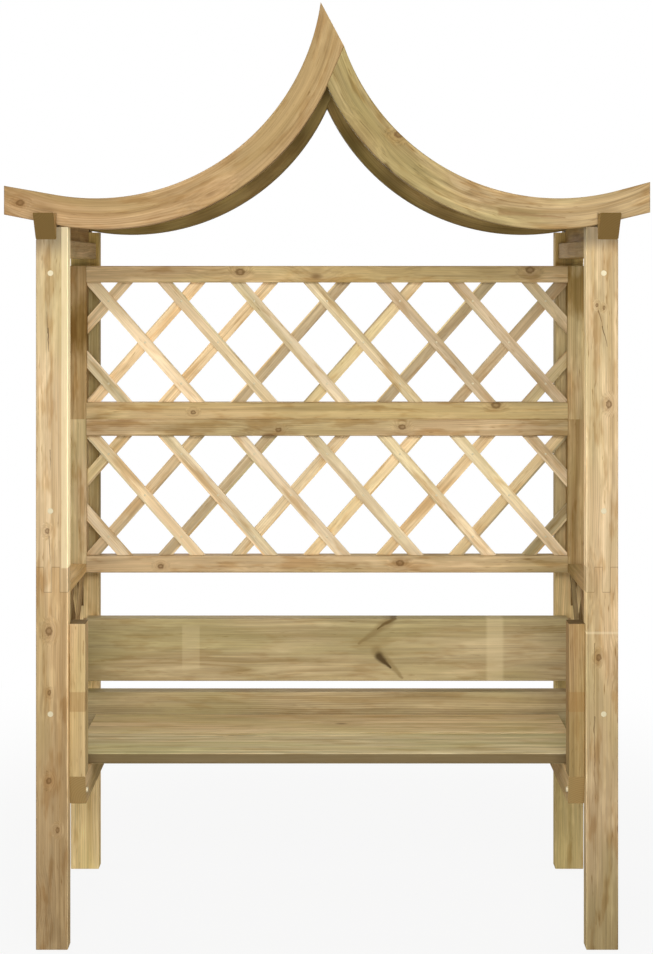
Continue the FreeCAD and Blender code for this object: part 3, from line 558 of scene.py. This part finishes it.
MARKS = {
    "front_post_left": front_post_marks(-1),
    "front_post_right": front_post_marks(1),
    "back_board": back_board_marks,
    "seat_board_front": seat_edge_shade_marks,
    "bench_upright_left": upright_marks,
    "bench_upright_right": upright_marks,
    "front_arch_right": stroke_marks((0.379, 1.615, 0.520, 1.604, 0.009, "#7F5D38", 0.5),
                                     (0.128, 1.715, 0.150, 1.690, 0.014, "#5A4423", 0.75)),
    "upper_panel_stile_left": stain_and_shade_marks((1.29, 1.41, 0.04, (0.52, 0.46, 0.30))),
    "upper_panel_stile_right": stain_and_shade_marks((1.39, 1.49, 0.03, (0.60, 0.52, 0.36))),
    # The rear posts: painted shade behind the lattice and under the roof, and on the left painted light
    # along the lower stretch
    "rear_post_left": stain_and_shade_marks((0.76, 1.46, 0.03, (0.60, 0.62, 0.62)),
                                  (-0.10, 0.62, 0.02, (1.40, 1.42, 1.45)),
                                  (1.46, 1.70, 0.03, (0.95, 0.90, 0.70))),
    "rear_post_right": stain_and_shade_marks((0.76, 1.46, 0.03, (0.66, 0.68, 0.70)),
                                   (1.46, 1.70, 0.03, (0.80, 0.74, 0.55))),
}


def dress_all(steel):
    """Gives each CAD piece its material: the fasteners the steel, the timbers their wood."""
    for seed, name in enumerate(sorted(nodes), start=1):
        if name in ("post_screws", "bearer_bolts"):
            dress(name, steel)
            continue
        side = -1 if name.endswith("left") else 1
        tone, choices = next((tone, choices) for part, tone, choices in TONES if part in name)
        choices = dict(choices, seed=seed, knots=KNOTS.get(name, ()), marks=MARKS.get(name))
        centre, axis = box_of(name)
        if "arch" in name:
            place = arch_log(side, seed)
            choices["end_axis"] = AXES["X"]
        elif "roof_slats" in name:
            place = straight_log(TURN_TO_GRAIN["Y"], centre, seed, slat_number(side))
            choices["end_axis"] = AXES["Y"]
        elif name.startswith("side_laths"):
            lean = 1 if "inner" in name else -1
            place = straight_log((-LEAN * lean, 0, -math.pi / 2), centre, seed, lath_number(1, lean))
        elif "laths" in name:
            lean = -1 if "front" in name else 1
            place = straight_log((0, LEAN * lean, 0), centre, seed, lath_number(0, lean))
        else:
            place = straight_log(TURN_TO_GRAIN[axis], centre, seed)
            choices["end_axis"] = AXES[axis]
        dress(name, softwood(name + "_softwood", tone, place, **choices))


# Nail heads

def nail_heads(name, places, radius, rise, material):
    """Flat-domed heads that face the front, one at each place.
    Formula: a profile of distance from the head's axis and of height above the wood is
    turned round the axis; the middle of the dome and the middle of the back are poles."""
    steps = 12
    sunk = 0.3          # of the rise, below the wood's face
    profile = np.array([(0.45, 0.94), (0.8, 0.72), (0.97, 0.4), (1.0, 0.12), (1.0, -sunk)])
    profile *= (radius, rise)
    turn = np.linspace(0, 2 * np.pi, steps, endpoint=False)
    away, height = profile[:, :1], profile[:, 1:]
    shape = (len(profile), steps)
    rings = np.stack([away * np.cos(turn), np.broadcast_to(-height, shape), away * np.sin(turn)], axis=-1)
    poles = np.array([(0, -rise, 0), (0, sunk * rise, 0)])
    one = np.concatenate([rings.reshape(-1, 3), poles])
    step = np.arange(steps)
    after = (step + 1) % steps
    start = np.arange(len(profile) - 1)[:, None] * steps
    near, far = (start + step).ravel(), (start + after).ravel()
    sides = np.stack([near, far, far + steps, near + steps], axis=1)
    top, back = len(one) - 2, len(one) - 1
    last = (len(profile) - 1) * steps
    caps = np.concatenate([np.stack([np.full(steps, top), after, step], axis=1),
                           np.stack([np.full(steps, back), last + step, last + after], axis=1)])
    places = np.array(places)
    vertices = (places[:, None] + one).reshape(-1, 3)
    shift = np.arange(len(places))[:, None, None] * len(one)
    faces = (sides + shift).reshape(-1, 4).tolist() + (caps + shift).reshape(-1, 3).tolist()
    mesh = bpy.data.meshes.new(name)
    mesh.from_pydata(vertices.tolist(), [], faces)
    mesh.shade_smooth()
    mesh.materials.append(material)
    piece = bpy.data.objects.new(name, mesh)
    bpy.context.scene.collection.objects.link(piece)
    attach(piece, "root")


def lath_crossings(panel):
    """Where the middle lines of a panel's crossing laths meet, on the front laths' face."""
    rail_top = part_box(panel + "_bottom_rail")[1][2]
    rail_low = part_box(panel + "_top_rail")[0][2]
    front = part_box(panel + "_laths_front")[0][1]
    climb = PITCH * math.tan(LEAN) / 2
    middle = (rail_top + rail_low) / 2
    level = [((k + 0.5) * PITCH, front, middle) for k in range(-3, 3)]
    off = [(k * PITCH, front, middle + way * climb) for k in range(-3, 4) for way in (-1, 1)]
    return level + off


# The studio: a pale floor, soft lights on all four sides, white surroundings

def make_floor():
    """Pale paint for the light that the floor throws back. The eye sees it almost white near
    the seat and quite white from 2.6 m outwards, so that no edge shows."""
    bpy.ops.mesh.primitive_circle_add(vertices=96, radius=30, fill_type="NGON", location=(0, 0, -0.0005))
    floor = bpy.context.object
    floor.name = "studio_floor"
    material = bpy.data.materials.new("studio_floor_paint")
    material.use_nodes = True
    tree = material.node_tree
    tree.nodes.clear()
    here = add(tree, "TexCoord").outputs["Object"]
    away = add(tree, "VectorMath", {"operation": "LENGTH"}, in_0=here).outputs["Value"]
    seen = add(tree, "LightPath").outputs["Is Camera Ray"]
    whiteness = maths(tree, "MULTIPLY_ADD", smooth_step(tree, away, 0.9, 2.6), 0.1, 0.9)
    paint = add(tree, "BsdfDiffuse", None, in_Color=(0.42, 0.41, 0.39, 1))
    white = add(tree, "Emission", None, in_Color=(1, 1, 1, 1), in_Strength=1.0)
    mixed = add(tree, "MixShader", None, in_0=both(tree, whiteness, seen), in_1=paint.outputs[0],
                in_2=white.outputs[0])
    add(tree, "OutputMaterial", None, in_0=mixed.outputs[0])
    floor.data.materials.append(material)


def make_light(name, place, aim, size, watts):
    """A rectangle of soft light, itself unseen by the camera."""
    data = bpy.data.lights.new(name, "AREA")
    data.shape = "RECTANGLE"
    data.size, data.size_y = size
    data.energy = watts
    lamp = bpy.data.objects.new(name, data)
    bpy.context.scene.collection.objects.link(lamp)
    lamp.location = place
    lamp.visible_camera = False
    lamp.rotation_euler = (Vector(aim) - Vector(place)).to_track_quat("-Z", "Y").to_euler()


def make_world():
    """White to the eye; as a light, stronger from above than from below."""
    world = bpy.data.worlds.new("white_surroundings")
    bpy.context.scene.world = world
    world.use_nodes = True
    tree = world.node_tree
    tree.nodes.clear()
    seen = add(tree, "LightPath").outputs["Is Camera Ray"]
    up = add(tree, "SeparateXYZ", None, in_0=add(tree, "TexCoord").outputs["Generated"]).outputs[2]
    strength = maths(tree, "MULTIPLY_ADD", smooth_step(tree, up, -0.3, 0.7), 0.34, 0.10)
    light = add(tree, "Background", None, in_Color=(1, 1, 1, 1), in_Strength=strength)
    white = add(tree, "Background", None, in_Color=(1, 1, 1, 1), in_Strength=1.0)
    mixed = add(tree, "MixShader", None, in_0=seen, in_1=light.outputs[0], in_2=white.outputs[0])
    add(tree, "OutputWorld", None, in_0=mixed.outputs[0])


def make_camera():
    """Level, 4.08 m in front of the front posts, with its view shifted down."""
    data = bpy.data.cameras.new("camera")
    data.lens = 70.3
    data.sensor_width = 36
    data.shift_x = -0.0006
    data.shift_y = -0.2132
    camera = bpy.data.objects.new("camera", data)
    camera.location = (0, -4.380, 1.481)
    camera.rotation_euler = (math.pi / 2, 0, 0)
    bpy.context.scene.collection.objects.link(camera)
    bpy.context.scene.camera = camera


steel = plated_steel()
dress_all(steel)
crossings = lath_crossings("upper_panel") + lath_crossings("lower_panel")
nail_heads("lath_nails", crossings, radius=0.0028, rise=0.0009, material=steel)
make_floor()
make_world()
make_light("front_softbox", (0.1, -3.0, 2.25), (0, 0, 1.2), (2.4, 0.9), 64)
make_light("low_front_fill", (0, -4.6, 0.55), (0, 0, 0.5), (3.0, 0.9), 62)
make_light("back_softbox", (-1.2, 4.2, 2.2), (0, 0, 1.0), (2.6, 1.6), 75)
make_light("left_softbox", (-4.2, 0.6, 2.0), (0, 0, 1.0), (2.0, 1.6), 38)
make_light("right_softbox", (4.2, 0.6, 2.0), (0, 0, 1.0), (2.0, 1.6), 38)
make_camera()
bpy.context.scene.view_settings.view_transform = "Standard"
